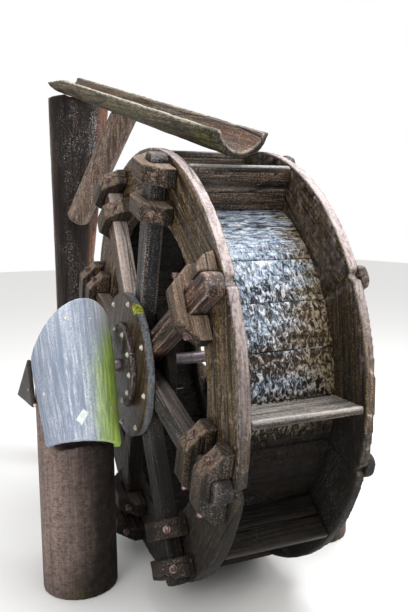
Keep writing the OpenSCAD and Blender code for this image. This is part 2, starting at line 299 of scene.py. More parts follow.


# %% [markdown]
# Then the weather works on it, one layer over the other: dark wet patches, grit, pale flecks
# along the fibres that are painted highlights, edges worn pale together with faces painted
# light, black cracks, and dirt and painted shade where the piece says so. Last come painted
# glints, small pale spots of light on wet drops. The order is that of the real thing, where
# dirt lies over wear and drops lie over dirt; painted shade goes with the dirt and painted
# light with the wear.


# %% Weather, dirt, painted shade and painted glints
CRACK_BLACK = "0d0b09"
GLINT_COLD, GLINT_WARM = "96a1b0", "b9a596"


def weather_and_painted_light(wood, piece, look):
    wood = (piece.wet * 0.7 * look.blotch).blend(wood, look.stain)
    wood = (piece.grit.step(0.38, 0.60, 0.8, 0.0) * look.contrast).blend(wood, look.dark)
    fibre_share = 0.85 if look.veil else 0.5
    # Pale flecks along the fibres: painted highlights.
    pale = piece.fibres * fibre_share + piece.grit * (1.0 - fibre_share)
    wood = (pale.step(0.53, 0.66) * look.flecks).blend(wood, look.gold or look.edge)
    # Worn edges, and the faces marked for painted light, turn pale.
    if not look.film:
        rubbed = (piece.fibres * 0.6 + piece.speck * 0.4).step(0.38, 0.58, 0.4, 1.0)
        wood = (piece.worn * rubbed).blend(wood, look.edge)
    wood = (piece.crack * 0.92).blend(wood, CRACK_BLACK)
    # Dirt and painted shade.
    wood = (piece.dirty * piece.fleck.step(0.30, 0.62, 0.9, 1.0)).blend(wood, look.stain)
    # Painted glints: small pale spots of light on wet drops.
    if look.glints:
        painted_glints = piece.place.noise(200.0, 2.0, 0.6).step(0.56, 0.68)
        painted_glints = painted_glints * piece.patches.step(0.44, 0.60)
        wood = (painted_glints * look.glints).blend(wood, piece.speck.blend(GLINT_COLD, GLINT_WARM))
    return wood


# %% [markdown]
# Green grows in two ways. Moss sits in small tufts, with a ragged edge that specks and
# patches give it, and stands a little proud. Algae on the bearing covers are a thin veil
# instead, which fades out along the fibres and adds no height.


# %% Moss and algae
MOSS_SHADE = "3c4219"


def growth(piece, look):
    """How much grows at each point, and its colour."""
    if look.veil:
        grown = piece.green + (piece.strands - 0.5) * 0.45 + (piece.patches - 0.5) * 0.5
        return grown.step(0.04, 0.62), piece.fibres.step(0.35, 0.65).blend(look.veil, look.moss)
    grown = piece.green + (piece.speck - 0.5) * 0.6 + (piece.patches - 0.5) * 0.8
    return grown.step(0.40, 0.66), piece.speck.step(0.3, 0.7).blend(MOSS_SHADE, look.moss)


# %% [markdown]
# The drum's boards stand under a thin wet film. It could be a sheet of glass over the wood,
# but a film this thin shows only where it is wrinkled, so its look is painted into the wood:
# a painted dull sheen in the hollows, and painted bright crests over it, which stand for
# reflections of the lamps. The crests run in ripples across the top board and fall in drops
# further down. They are painted as reflections of a cold light on the near side and of a
# warm one on the far side. For the drum, worn says where the top board is, and green how
# much of the painted sheen and crests shows.


# %% The wet film on the drum, with painted sheen and reflections
# Colours of the painted sheen, and of the painted glints, warm and cold.
PAINTED_SHEEN = ("6b563a", "6b829e")
PAINTED_WARM_GLINT = ("8f7650", "c4b496")
PAINTED_COLD_GLINT = ("8fa5be", "f7f9fc")


def painted_film_reflections(wood, piece):
    """The wood with the film's painted sheen and crests, and the height of the film's wrinkles."""
    falls = piece.grain.stretch(88.0, 52.0, 72.0).noise(1.0, 5.0, 0.68, 0.9)
    ripples = piece.grain.stretch(26.0, 150.0, 150.0).noise(1.0, 4.0, 0.66, 0.8)
    run = falls + (ripples - falls) * piece.worn
    reflection_share = piece.green.step(0.0, 0.12)
    near = piece.place.node("SeparateXYZ", Vector=piece.place).step(-0.10, 0.30, 1.0, 0.0)
    # Where the painted reflections are cold and where they are warm.
    cold_reflection_share = near * 0.45 + piece.green * 0.6 + (piece.patches - 0.5) * 1.3 + (run - 0.5) * 0.6
    cold_reflection_share = cold_reflection_share.step(0.38, 0.80)
    # A painted dull sheen in the hollows.
    painted_sheen_share = run.step(0.36, 0.56, 0.0, 0.6) * reflection_share * piece.green.step(0.2, 0.7, 0.2, 1.0)
    wood = painted_sheen_share.blend(wood, cold_reflection_share.blend(*PAINTED_SHEEN))
    # Painted bright crests, which stand for reflections of the lamps.
    painted_light = (run + (piece.patches - 0.5) * 0.4 + (piece.green - 0.45) * 0.12).step(0.44, 0.60)
    glint = (run + piece.speck * 0.3).step(0.62, 0.80)
    painted_crest_colour = cold_reflection_share.blend(piece.speck.blend(*PAINTED_WARM_GLINT), glint.blend(*PAINTED_COLD_GLINT))
    return (painted_light * reflection_share).blend(wood, painted_crest_colour), run


# %% [markdown]
# The recipe puts the steps together and adds the relief and the roughness. Each finish is
# this recipe with its own colours and levels, and is mixed where its piece is made. Levels
# that a finish doesn't give are those of plain damp timber.

# %% The recipe for old timber
PLAIN = {
    "ring": 0.007,  # metres from one year ring to the next
    "years": 0.28,  # how dark the year rings are
    "cracks": 0.6,  # how much of the wood is checked
    "contrast": 1.0,  # of the fibres and the grit
    # flecks are painted highlights along the fibres
    "flecks": 0.5,  # strength of the pale flecks
    "blotch": 0.5,  # strength of the dark wet patches
    # glints are painted glints, small pale spots of light
    "glints": 0.0,  # drops that catch the light
    "gloss": 0.0,  # wet coat on the patches
    "rough": (0.35, 0.75),  # roughness of wet and of dry spots
    "relief": 1.0,  # depth of the bump
    "bark": 0.0,  # wrinkles of a barked log
    # the film turns on the painted sheen and painted reflections of a wet film
    "film": False,  # a wet film over the whole piece
    "moss": "6f7a2e",
    # the stain colour serves wet patches, bark furrows, dirt and painted shade
    "stain": "120f0c",
    "gold": None,  # colour of the flecks, where it isn't that of the edges
    "cool": None,  # second colour for single boards
    "veil": None,  # shade of the algae that grow as a veil
}
BUMP_DEPTH = 0.0035
paint = {}


def feed(made, **sockets):
    """Link each socket to the input of the material's shader that has its name."""
    inputs = made.node_tree.nodes["Principled BSDF"].inputs
    for name, socket in sockets.items():
        made.node_tree.links.new(socket.out, inputs[name.replace("_", " ")])


def timber(slot, pale, dark, edge, **finish):
    look = SimpleNamespace(**{**PLAIN, "pale": pale, "dark": dark, "edge": edge, **finish})
    made, shader = new_material(slot)
    piece = patterns(made.node_tree, look)
    wood = weather_and_painted_light(bare_wood(piece, look), piece, look)
    height = piece.fibres * 0.9 + piece.strands * 0.8 + piece.rings * 0.15 - piece.crack * 1.8
    shine = (piece.fibres - 0.5) * 0.3 + piece.speck * 0.3 - 0.15
    shine = shine - piece.wet * 0.3 * look.blotch
    if look.bark:
        height = height + piece.wrinkles * 2.2 * look.bark
    if look.film:
        wood, run = painted_film_reflections(wood, piece)
        height = height * 0.3 + run * 3.0
    else:
        grown, green = growth(piece, look)
        wood = (grown * 0.85).blend(wood, green)
        shine = shine + grown * 0.25
        if not look.veil:
            height = height + grown * piece.speck * 0.9
    shine = shine.step(-0.35, 0.35, *look.rough)
    if not look.film:
        shine = shine + piece.dirty * 0.35
    bump = height.node("Bump", Strength=0.9, Distance=BUMP_DEPTH * look.relief, Height=height)
    feed(made, Base_Color=wood, Roughness=shine, Normal=bump)
    shader.inputs["Specular IOR Level"].default_value = 0.22
    if look.gloss:
        feed(made, Coat_Weight=piece.wet * look.gloss * (1.0 - piece.dirty))
        shader.inputs["Coat Roughness"].default_value = 0.12
    paint[slot] = made


print("levels that a finish can set", len(PLAIN))

# %% [markdown]
# Grain is laid out piece by piece, so every point has to know where on the wheel it is. The
# wheel is measured from its axle, in angles that start at the front and go up, and it is
# divided in sectors, one for each arm. `ramp` is the brush that paints marks: it goes from 0
# to 1 between two heights, radii or directions. `chance` gives each board a number of its
# own that is the same in each run.


# %% Places on the wheel
ARM_COUNT = 8
FIRST_ARM, ARM_STEP = math.radians(27.0), math.radians(360.0 / ARM_COUNT)
TREE = 3.0  # from one board's tree to the next, so that no two share their grain


def ramp(values, start, end, top=1.0):
    return np.clip((values - start) / (end - start), 0.0, top)


def chance(index, salt):
    return np.modf(np.abs(np.sin(index * 12.9898 + salt * 78.233) * 43758.5453))[0]


def from_axle(points):
    """How far each point lies behind the axle, above it and from it."""
    y, z = points[:, 1] - axle.y, points[:, 2] - axle.z
    return y, z, np.hypot(y, z)


def angle_of(points):
    y, z, _ = from_axle(points)
    return np.arctan2(z, -y)


def sectors(points, shift=0.0):
    """The sector of each point, and how far out and how far aside it lies there."""
    angle, radius = angle_of(points), from_axle(points)[2]
    sector = np.round((angle - FIRST_ARM) / ARM_STEP - shift)
    off = angle - FIRST_ARM - (sector + shift) * ARM_STEP
    return sector, radius * np.cos(off), radius * np.sin(off)


def facing_out(points, normals):
    """1 where a face looks straight out from the axle, 0 where it looks aside."""
    y, z, radius = from_axle(points)
    return (y * normals[:, 1] + z * normals[:, 2]) / radius


print("first arm at", round(math.degrees(FIRST_ARM), 1), "degrees")

# %% [markdown]
# Old wood is never as sharp as a drawing. It could be sculpted by hand, but a wheel has too
# many boards for that. So a copy of each solid is given an even, fine net of faces by a
# Remesh modifier. The rings, which are the largest, are thinned out again by a Decimate one.


# %% An even net on each solid
def only(*objects):
    bpy.ops.object.select_all(action="DESELECT")
    for item in objects:
        item.select_set(True)
    bpy.context.view_layer.objects.active = objects[-1]


def apply_modifier(piece, kind, **settings):
    only(piece)
    made = piece.modifiers.new(kind.lower(), kind)
    for name, value in settings.items():
        setattr(made, name, value)
    bpy.ops.object.modifier_apply(modifier=made.name)


def merged_copy(node, flat=False):
    """A copy of the node's loose triangles, merged to one skin, with flat faces if asked."""
    mesh = cad[node].data.copy()
    mesh.materials.clear()
    piece = add_object("worn_" + node, mesh)
    only(piece)
    bpy.ops.object.mode_set(mode="EDIT")
    bpy.ops.mesh.select_all(action="SELECT")
    bpy.ops.mesh.remove_doubles(threshold=1e-5)
    if flat:
        bpy.ops.mesh.dissolve_limited(angle_limit=math.radians(1.0))
    bpy.ops.mesh.normals_make_consistent(inside=False)
    bpy.ops.object.mode_set(mode="OBJECT")
    return piece


def even_net(node, voxel, keep):
    piece = merged_copy(node)
    coarser = 1.0
    apply_modifier(piece, "REMESH", mode="VOXEL", voxel_size=voxel * coarser)
    if keep < 1.0:
        apply_modifier(piece, "DECIMATE", ratio=keep)
    return piece


print("solids to copy", len(cad) - 1)

# %% [markdown]
# Then the copy is worn. A Smooth modifier rounds its corners, and how far it moved a point
# tells where the edges are. After that the surface is eaten away a little, more at the
# edges, in furrows that follow the grain. Everything is taken off and nothing is added, so
# the piece stays inside its solid. The last two centimetres above the floor are eaten less
# and less, so that the sawn feet stay flat.


# %% Wear
FLAT_FOOT = 0.02
MOST_EATEN = 2.4  # times the depth


def vertex_values(piece, field):
    values = np.empty(len(piece.data.vertices) * 3, np.float32)
    piece.data.vertices.foreach_get(field, values)
    return values.reshape(-1, 3).astype(float)


def move_vertices(piece, places):
    piece.data.vertices.foreach_set("co", places.astype(np.float32).ravel())
    piece.data.update()


def keep_values(piece, grain, marks, board):
    """Store what the recipe for timber reads. Marks: wear and painted light, green, dirt and
    painted shade.
    """
    for name, kind, field, values in (("grain", "FLOAT_VECTOR", "vector", grain),
                                      ("marks", "FLOAT_VECTOR", "vector", marks),
                                      ("board", "FLOAT", "value", board)):
        made = piece.data.attributes.new(name, kind, "POINT")
        made.data.foreach_set(field, np.asarray(values, np.float32).ravel())


def net_step(piece):
    """The usual length of an edge of the net."""
    ends = [[piece.data.vertices[edge.vertices[i]].co for edge in piece.data.edges[:400]]
            for i in (0, 1)]
    return float(np.median(np.linalg.norm(np.array(ends[0]) - np.array(ends[1]), axis=1)))


def wear(piece, rounds, depth, grain_of, marks_of):
    before = vertex_values(piece, "co")
    apply_modifier(piece, "SMOOTH", factor=0.5, iterations=rounds)
    places, normals = vertex_values(piece, "co"), vertex_values(piece, "normal")
    moved = np.linalg.norm(places - before, axis=1)
    edge = np.clip(moved / (0.35 * net_step(piece)) - 0.2, 0.0, 1.0)
    grain, board = grain_of(places)
    eaten = np.empty(len(places))
    for i, (along, across, through) in enumerate(grain):
        furrow = noise.noise((along * 6.0, across * 75.0, through * 75.0))
        bite = noise.noise((along * 14.0, across * 22.0, through * 22.0))
        eaten[i] = 0.3 + 0.35 * furrow + max(0.0, bite) * (0.3 + 1.6 * edge[i])
    eaten = np.clip(eaten, 0.0, MOST_EATEN) * depth * ramp(places[:, 2], 0.0, FLAT_FOOT)
    places -= normals * eaten[:, None]
    move_vertices(piece, places)
    marks = np.zeros((len(places), 3))
    marks[:, 0] = edge
    # The first mark joins the worn edges with bleaching and painted light.
    if marks_of:
        bleach_and_light, marks[:, 1], marks[:, 2] = marks_of(places, normals)
        marks[:, 0] = np.maximum(edge, bleach_and_light)
    keep_values(piece, grain, marks, board)
    only(piece)
    bpy.ops.object.shade_smooth()


def dress(piece, node, body, slot):
    piece.data.materials.append(paint[slot])
    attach(piece, body)
    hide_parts(node)


def worn(node, body, slot, grain_of, marks_of=None, *, voxel, rounds, depth, keep=1.0):
    """A worn copy of the node. Voxel is the net's size, depth how much is eaten away."""
    piece = even_net(node, voxel, keep)
    wear(piece, rounds, depth, grain_of, marks_of)
    dress(piece, node, body, slot)
    print(node, len(piece.data.polygons))


# %% [markdown]
# The rings are planks sawn to the curve, each from one arm to the next, with the grain
# along its chord. Their outer faces are brown and patchy with moss. The upper rims are
# painted light, a pale pinkish tan. The lowest third is painted almost black, wet and in
# painted shade, and the faces towards the drum get painted shade too. Those marks are
# painted by height and by the way a face looks, as nothing else sets them apart.


# %% Rings
def ring_grain(points):
    sector, outward, aside = sectors(points, 0.5)
    x = points[:, 0]
    grain = np.stack([aside + sector * TREE, outward - 0.45, x + 0.25 * np.sign(x)], 1)
    return grain, chance(sector % ARM_COUNT, 1.5)


def ring_marks(points, normals):
    x, height, radius = points[:, 0], points[:, 2], from_axle(points)[2]
    outward = facing_out(points, normals)
    # Painted light on the upper rims; painted shade with wetness low down and towards the drum.
    rim = ramp(outward, 0.6, 0.9) * (radius > 0.66) * ramp(height, 0.55, 1.15)
    rim = np.where(x > 0, rim * np.maximum(ramp(height, 0.7, 1.05), 0.2), rim)
    low = ramp(height, 0.69, 0.44)
    drum_side = ramp(-np.sign(x) * normals[:, 0], 0.5, 0.8)
    drum_side_shade = drum_side * (0.35 + 0.4 * ramp(height, 1.2, 0.7))
    dirty = np.clip(0.9 * low + 0.1 * low * (outward > 0.7) + drum_side_shade, 0.0, 1.0)
    return rim * (1.0 - low), 0.20 + 0.1 * drum_side * (1.0 - low), dirty


timber("ring_wood", "8a6f4b", "1a130b", "c3b4b2", ring=0.009, cracks=0.8, rough=(0.2, 0.6),
       contrast=1.4, moss="66622a", gloss=0.3, gold="b8975f", glints=0.2)
for side, voxel in (("near", 0.0045), ("far", 0.0055)):
    worn(side + "_felloes", "wheel", "ring_wood", ring_grain, ring_marks,
         voxel=voxel, rounds=2, depth=0.0020, keep=0.5)

# %% [markdown]
# The drum is made of narrow boards that are always wet, dark and slick. Their inner faces and
# the lower rows are darkened with painted shade. Each board sits a little deeper or higher
# than the next. Their flat faces are kept, and the long edges are eased by a Bevel modifier,
# because a net fine enough for edges this small would be heavy.


# %% Drum boards
DRUM_BOARDS = 26
FIRST_BOARD = 25.5  # degrees
DRUM_INSIDE = 0.543  # radius of its inner faces


def row_grain(points, directions):
    """Grain across the wheel, for the board whose direction, in degrees, is the nearest."""
    radius, angle = from_axle(points)[2], np.degrees(angle_of(points))
    away = (angle[:, None] - directions[None, :] + 180) % 360 - 180
    index = np.abs(away).argmin(1)
    off = np.radians(away[np.arange(len(points)), index])
    heart = 0.06 + 0.12 * chance(index, 5)
    grain = np.stack([points[:, 0] + index * TREE, radius * np.sin(off) + heart,
                      radius * np.cos(off) - 0.5], 1)
    return grain, chance(index, 2)


def drum_marks(points):
    y, z, radius = from_axle(points)
    top, high, front = ramp(z, 0.34, 0.44), ramp(z, -0.15, 0.40), ramp(y, 0.25, -0.05)
    near = ramp(points[:, 0], 0.15, -0.15)
    inside = radius < DRUM_INSIDE
    # Where the painted sheen and reflections show; the inner faces and lower rows get painted
    # shade.
    reflection_share = np.where(inside, 0.0, high * front * (0.5 + 0.5 * near))
    return np.stack([top, reflection_share, np.where(inside, 0.95, 0.97 * (1.0 - high))], 1)


timber("wet_wood", "86663f", "15110d", "8f8c86", cracks=0.3, rough=(0.04, 0.22), film=True,
       gloss=0.9, relief=1.4)
drum = merged_copy("sole_boards", flat=True)
apply_modifier(drum, "BEVEL", width=0.003, segments=2, limit_method="ANGLE",
               angle_limit=math.radians(40.0))
places = vertex_values(drum, "co")
drum_rows = FIRST_BOARD + (np.arange(DRUM_BOARDS) + 0.5) * 360 / DRUM_BOARDS
drum_grain, drum_board = row_grain(places, drum_rows)
sunk = 1.0 - 0.006 * drum_board[:, None]
places[:, 1:] = (places[:, 1:] - [axle.y, axle.z]) * sunk + [axle.y, axle.z]
move_vertices(drum, places)
keep_values(drum, drum_grain, drum_marks(places), drum_board)
only(drum)
bpy.ops.object.shade_smooth_by_angle(angle=math.radians(35.0))
dress(drum, "sole_boards", "wheel", "wet_wood")
print("drum boards", len(drum.data.polygons))

# %% [markdown]
# Each bucket is two planks on edge between the rings. The grain runs across the wheel. The
# upper faces are painted light, a pale sheen, and the lip at the rim gets the palest painted
# highlight; the lower buckets get painted shade. The directions below, in degrees, tell the
# planks apart, so that each one has a tree of its own.


# %% Bucket planks
BUCKETS = np.array([122, 90, 63, -3.5, -41, -75, -108, -141, -174, -206], float)
LIP_DEEP, LIP_SOFT = 0.013, 0.005


def bucket_grain(points):
    return row_grain(points, BUCKETS)


def bucket_marks(points, normals):
    upward = np.clip(normals[:, 2], 0, 1)
    low = ramp(points[:, 2], 0.62, 0.50, 0.92)
    radius = from_axle(points)[2]
    lip_start = max(radius.max(), 0.65) - LIP_DEEP
    # Painted light on the upward faces, a painted highlight on the lip, painted shade low down.
    lip_highlight = upward * ramp(radius, lip_start, lip_start + LIP_SOFT)
    return (0.34 * upward + 0.6 * lip_highlight) * (1 - low), 0.16 + 0.14 * upward, low


timber("bucket_wood", "937b68", "17120f", "c6c4c0", ring=0.010, rough=(0.12, 0.45), gloss=0.5,
       gold="aa9c86", contrast=1.2)
for row in ("inner", "outer"):
    worn("bucket_" + row + "_planks", "wheel", "bucket_wood", bucket_grain, bucket_marks,
         voxel=0.006, rounds=2, depth=0.0016)

# %% [markdown]
# Arms run from the hub out over the ring. They are straight grained, with pale worn corners,
# and each has its own tone between brown and a cool grey, which a short list gives.
# The upward faces and the front of the palest arm are painted light, and the inner faces,
# the lower arms and the steps at the hub get painted shade.


# %% Arms
ARM_TONES = np.array([0.2, 0.9, 0.0, 0.3, 0.5, 0.45, 0.8, 0.7])


def arm_grain(points):
    sector, outward, aside = sectors(points)
    grain = np.stack([outward + sector * TREE, aside + 0.03, points[:, 0] + 0.1], 1)
    return grain, ARM_TONES[sector.astype(int) % ARM_COUNT]


def arm_marks(points, normals):
    upward = np.clip(normals[:, 2], 0, 1)
    palest = arm_grain(points)[1] == ARM_TONES.min()
    # Painted light on the upward faces and the palest arm's front; painted shade inside and low.
    front = np.clip(-normals[:, 1], 0, 1) * palest
    inner = ramp(np.abs(points[:, 0]), 0.24, 0.21, 0.35)
    low = ramp(points[:, 2], 0.68, 0.33, 0.8)
    step = ramp(facing_out(points, normals), 0.4, 0.7, 0.9) * (from_axle(points)[2] < 0.4)
    return ((0.3 * upward + front) * (1 - low) * (1 - step), 0.08 + 0.15 * upward,
            np.clip(low + inner + step, 0, 0.95))


timber("arm_wood", "9c7660", "120d0b", "dccbc2", rough=(0.25, 0.6), blotch=0.6, cracks=0.8,
       contrast=1.3, cool="5f6c74")
for side, voxel in (("near", 0.006), ("far", 0.008)):
    worn(side + "_arms", "wheel", "arm_wood", arm_grain, arm_marks,
         voxel=voxel, rounds=3, depth=0.0018)

# %% [markdown]
# The saddles bridge the arms at the outer and the inner edge of the ring. They are short
# lengths of hardwood, checked and dark at their sawn ends. Their undersides and the lower
# saddles get painted shade, and their tops and fronts are painted light. Which faces are the
# ends follows from the direction of the arm.


# %% Saddles
def saddle_grain(points):
    sector, outward, aside = sectors(points)
    grain = np.stack([aside + sector * TREE, outward - 0.6, points[:, 0]], 1)
    return grain, chance(sector % ARM_COUNT, 1.0)


def saddle_marks(points, normals):
    arm = sectors(points)[0] * ARM_STEP + FIRST_ARM
    endwise = np.abs(normals[:, 1] * np.sin(arm) + normals[:, 2] * np.cos(arm))
    ends = 0.55 * ramp(endwise, 0.75, 0.90)
    # Painted light on the tops and fronts, painted shade underneath and low down.
    painted_light = np.clip(0.9 * normals[:, 2] - 0.35 * normals[:, 1], 0, 1)
    shade_under = 0.7 * np.clip(-normals[:, 2] - 0.1, 0.0, 1.0)
    low = ramp(points[:, 2], 0.68, 0.33, 0.75)
    return (0.55 * painted_light * (1 - low) * (1 - ends), 0.08 + 0.1 * painted_light,
            np.clip(low + ends + shade_under, 0, 0.92))


timber("saddle_wood", "83694f", "120c08", "c2a894", ring=0.008, rough=(0.3, 0.65), cracks=1.0,
       blotch=0.6, contrast=1.9, glints=0.3)
for name, voxel in (("near_outer", 0.005), ("near_inner", 0.005), ("far_inner", 0.006)):
    worn(name + "_saddles", "wheel", "saddle_wood", saddle_grain, saddle_marks,
         voxel=voxel, rounds=3, depth=0.0024)

# %% [markdown]
# The hub is built up of round plates: a wide disc over the arms, a small dark flange on it,
# and a plate behind the arms. They are sawn from wide planks, so one straight grain crosses
# each of them. The disc's rim has gone grey, with one bright patch of moss near its top.


# %% Hub plates
MOSS_SPOT = np.array((-0.270, axle.y - 0.130, axle.z + 0.198))


def log_grain(points, foot, head, heart=(0.0, 0.0)):
    """Grain along the line from foot to head, with the tree's heart beside it."""
    line = np.array(head) - np.array(foot)
    line = line / np.linalg.norm(line)
    side = np.cross(line, (1.0, 0.0, 0.0) if abs(line[0]) < 0.9 else (0.0, 1.0, 0.0))
    side /= np.linalg.norm(side)
    away = points - np.array(foot)
    grain = np.stack([away @ line, away @ side + heart[0],
                      away @ np.cross(line, side) + heart[1]], 1)
    return grain, np.zeros(len(points))


def plate_grain(points):
    return log_grain(points, (0, axle.y, axle.z), (0, axle.y - 0.5, axle.z + 0.9), (0.25, 0.1))


def disc_marks(points, normals):
    to_moss = np.linalg.norm(points - MOSS_SPOT, axis=1)
    rim = 0.7 * ramp(np.abs(normals[:, 0]), 0.5, 0.0)
    # The discs darken towards the bottom: painted shade.
    return rim, ramp(to_moss, 0.039, 0.009), ramp(points[:, 2], 0.62, 0.02, 0.5)


def plate_marks(points, normals):
    # The plates behind the arms are darkened all over: painted shade.
    return 0.0, 0.0, 0.9


timber("hub_wood", "7b614c", "1b130e", "8d969e", rough=(0.25, 0.6), moss="d2d83a", contrast=1.3,
       gold="8f765c", flecks=0.3)
timber("flange_wood", "5a4946", "171212", "b8a7a2", rough=(0.25, 0.6), contrast=2.2, flecks=0.9,
       glints=0.8)
for side in ("near", "far"):
    worn(side + "_hub_disc", "wheel", "hub_wood", plate_grain, disc_marks,
         voxel=0.005, rounds=2, depth=0.0014)
for side in ("near", "far"):
    worn(side + "_back_plate", "wheel", "hub_wood", plate_grain, plate_marks,
         voxel=0.007, rounds=2, depth=0.0014)
for side in ("near", "far"):
    worn(side + "_hub_flange", "wheel", "flange_wood", plate_grain,
         voxel=0.0045, rounds=4, depth=0.0012)

# %% [markdown]
# The two posts beside the wheel are barked logs. They are taupe, with the small wrinkles that
# bark leaves, green at the foot, and darker on the side of the wheel, where painted shade
# lies. The bearing blocks on them are hidden under the covers and are plain brown timber.


# %% Posts and bearings
def post_marks(points, normals):
    foot = ramp(points[:, 2], 0.16, 0.0)
    # Painted shade on the side of the wheel.
    shaded_wheel_side = ramp(np.sign(points[:, 0]) * normals[:, 0], 0.75, -0.40, 0.95)
    return 0.0, 0.5 * foot, np.clip(0.4 * foot + shaded_wheel_side, 0.0, 1.0)


timber("post_wood", "9a867e", "675650", "a79590", cracks=0.1, years=0.0, rough=(0.5, 0.85),
       blotch=0.35, relief=1.2, moss="5b5a38", stain="1b1715", contrast=0.65, flecks=0.3,
       bark=0.6)
timber("bearing_wood", "584a3b", "2b241d", "82756a")
for side, voxel in (("near", 0.0065), ("far", 0.0085)):
    low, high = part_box(side + "_post")
    x, y = (low.x + high.x) / 2, (low.y + high.y) / 2
    worn(side + "_post", "frame", "post_wood",
         lambda points: log_grain(points, (x, y, 0), (x, y, 1), (0.01, 0.02)), post_marks,
         voxel=voxel, rounds=6, depth=0.0016)
    for name in ("_bearing", "_bearing_cap"):
        worn(side + name, "frame", "bearing_wood",
             lambda points: log_grain(points, (x, y, 0), (x, y + 1, 0), (0.15, 0.08)),
             voxel=0.0055, rounds=4, depth=0.0012)

# %% [markdown]
# The post under the launder is almost black, wet and deeply furrowed, with painted glints
# all over. Its middle gets painted shade, and only its two outlines, as the camera sees them,
# are painted light, a lighter reddish brown. The brace leans on it: a smooth pale log with
# hardly a crack.

# %% Tall post and brace
POST_SIDE = np.array((-0.92, 0.39, 0.0))


def tall_marks(points, normals):
    aside = normals @ POST_SIDE
    # Painted light on the two outlines that the camera sees, painted shade between them.
    painted_light = np.maximum(ramp(aside, 0.78, 0.98), ramp(-aside, 0.70, 0.90))
    foot = ramp(points[:, 2], 0.3, 0.0)
    return 0.6 * painted_light, 0.1 + 0.2 * foot, 0.1 + 0.5 * (1.0 - painted_light)


timber("tall_post_wood", "3a2318", "0a0706", "9c6c54", cracks=0.7, rough=(0.05, 0.4), relief=2.2,
       gloss=0.9, years=0.1, flecks=0.25, gold="7a4a33", glints=0.8)
low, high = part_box("tall_post")
foot, head = (low.x + 0.1, low.y + 0.145, 0), (low.x + 0.12, low.y + 0.145, 1)
worn("tall_post", "frame", "tall_post_wood", lambda points: log_grain(points, foot, head),
     tall_marks, voxel=0.0085, rounds=6, depth=0.0045)

timber("strut_wood", "a8917f", "43332a", "d8c8bf", cracks=0.15, years=0.05, rough=(0.4, 0.7),
       relief=0.9)
low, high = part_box("strut")
foot, head = (high.x - 0.06, high.y - 0.06, low.z), (low.x + 0.06, low.y, high.z)
worn("strut", "frame", "strut_wood", lambda points: log_grain(points, foot, head),
     voxel=0.0055, rounds=4, depth=0.0008)

# %% [markdown]
# A half log leans over each bearing to keep the rain off. It has weathered to silver grey,
# with a bright band of green down the side next to the wheel, wider towards the foot. Its
# upper part next to the wheel is painted light, and its outer side and its underside get
# painted shade. The marks are painted across the cover, from -1 at its outer edge to 1 at
# the wheel. The board behind it is dark and plain.

# %% Bearing covers
COVER_LEAN = math.radians(26.0)
low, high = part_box("far_cover")
COVER_X, COVER_HALF = (low.x + high.x) / 2, (high.x - low.x) / 2


def cover_marks(points, normals):
    across = (COVER_X - np.abs(points[:, 0])) / COVER_HALF
    high_up = ramp(from_axle(points)[1], 0.02, 0.17)
    outside = 1.0 - ramp(normals[:, 1], 0.1, 0.4)
    green = ramp(across, -0.10, 1.0) * (1.0 - 0.88 * high_up)
    green = np.where(points[:, 0] > 0, 0.35 * green, green)
    # Painted shade on the outer side and the underside; painted light high up next to the wheel.
    shade = ramp(-across, 0.3, 0.9) * (0.18 + 0.27 * (1.0 - high_up))
    bleach_and_light = 0.75 * high_up * ramp(across, 0.3, 0.7) * outside
    return bleach_and_light, green * outside, np.maximum(0.75 * (1.0 - outside), shade)


timber("cover_wood", "cfd6e3", "8793a6", "eef1f4", cracks=0.3, years=0.0, rough=(0.45, 0.8),
       blotch=0.15, moss="c8ec3e", relief=0.6, stain="48536b", contrast=0.95, veil="8aa644")
timber("side_board_wood", "2f2721", "140f0c", "8f7b6c", flecks=0.3)
for side, x, voxel in (("near", -COVER_X, 0.0045), ("far", COVER_X, 0.0065)):
    foot = (x, axle.y + 0.03, axle.z)
    head = (x, foot[1] + math.sin(COVER_LEAN), foot[2] + math.cos(COVER_LEAN))
    worn(side + "_cover", "frame", "cover_wood", lambda points: log_grain(points, foot, head),
         cover_marks, voxel=voxel, rounds=4, depth=0.0010)
    bearing, behind = (x, axle.y, axle.z), (x, axle.y + 1, axle.z - 0.5)
    worn(side + "_side_board", "frame", "side_board_wood",
         lambda points: log_grain(points, bearing, behind, (0.1, 0.1)),
         voxel=0.0055, rounds=4, depth=0.0012)

# %% [markdown]
# The launder is a log split and hollowed by hand. The upward faces of its rims are pale, its
# outside is brown with green along the sides and painted shade underneath, and the inside of
# the channel is reddish. To paint the channel alone, `from_channel` measures each point from
# the channel's middle line, which it finds in slices along the log.


# %% Launder
CHANNEL = 0.078  # its radius
END_MARGIN = 0.15
launder_low, launder_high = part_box("launder")


def from_channel(points):
    x, y, z = points.T
    cuts = np.linspace(launder_low.y + END_MARGIN, launder_high.y - END_MARGIN, 9)
    slices = [points[np.abs(y - cut) < 0.03] for cut in cuts]
    middle = np.polyfit(cuts, [(s[:, 0].min() + s[:, 0].max()) / 2 for s in slices], 1)
    rim = np.polyfit(cuts, [s[:, 2].max() for s in slices], 1)
    return np.hypot(x - np.polyval(middle, y), z - np.polyval(rim, y))


def launder_grain(points):
    foot = (launder_low.x + 0.23, launder_low.y, launder_low.z + 0.1)
    head = (launder_low.x + 0.09, launder_high.y, launder_high.z - 0.08)
    reddish = np.maximum(ramp(points[:, 1], -0.2, -0.5), 0.55)
    return log_grain(points, foot, head)[0], reddish * (from_channel(points) < CHANNEL)


def launder_marks(points, normals):
    outside = from_channel(points) > CHANNEL
    mouth = ramp(points[:, 1], -0.55, -0.65)
    rims = ramp(normals[:, 2], 0.75, 0.95) * outside
    side = np.clip(-normals[:, 0], 0, 1)
    # Painted shade underneath.
    shade_under = 0.4 * np.clip(-normals[:, 2], 0, 1)
    return (0.75 * rims, (0.22 + 0.08 * mouth + 0.2 * side) * outside,
            np.clip(0.75 * mouth * outside + shade_under + 0.15 * (1 - outside), 0, 0.9))


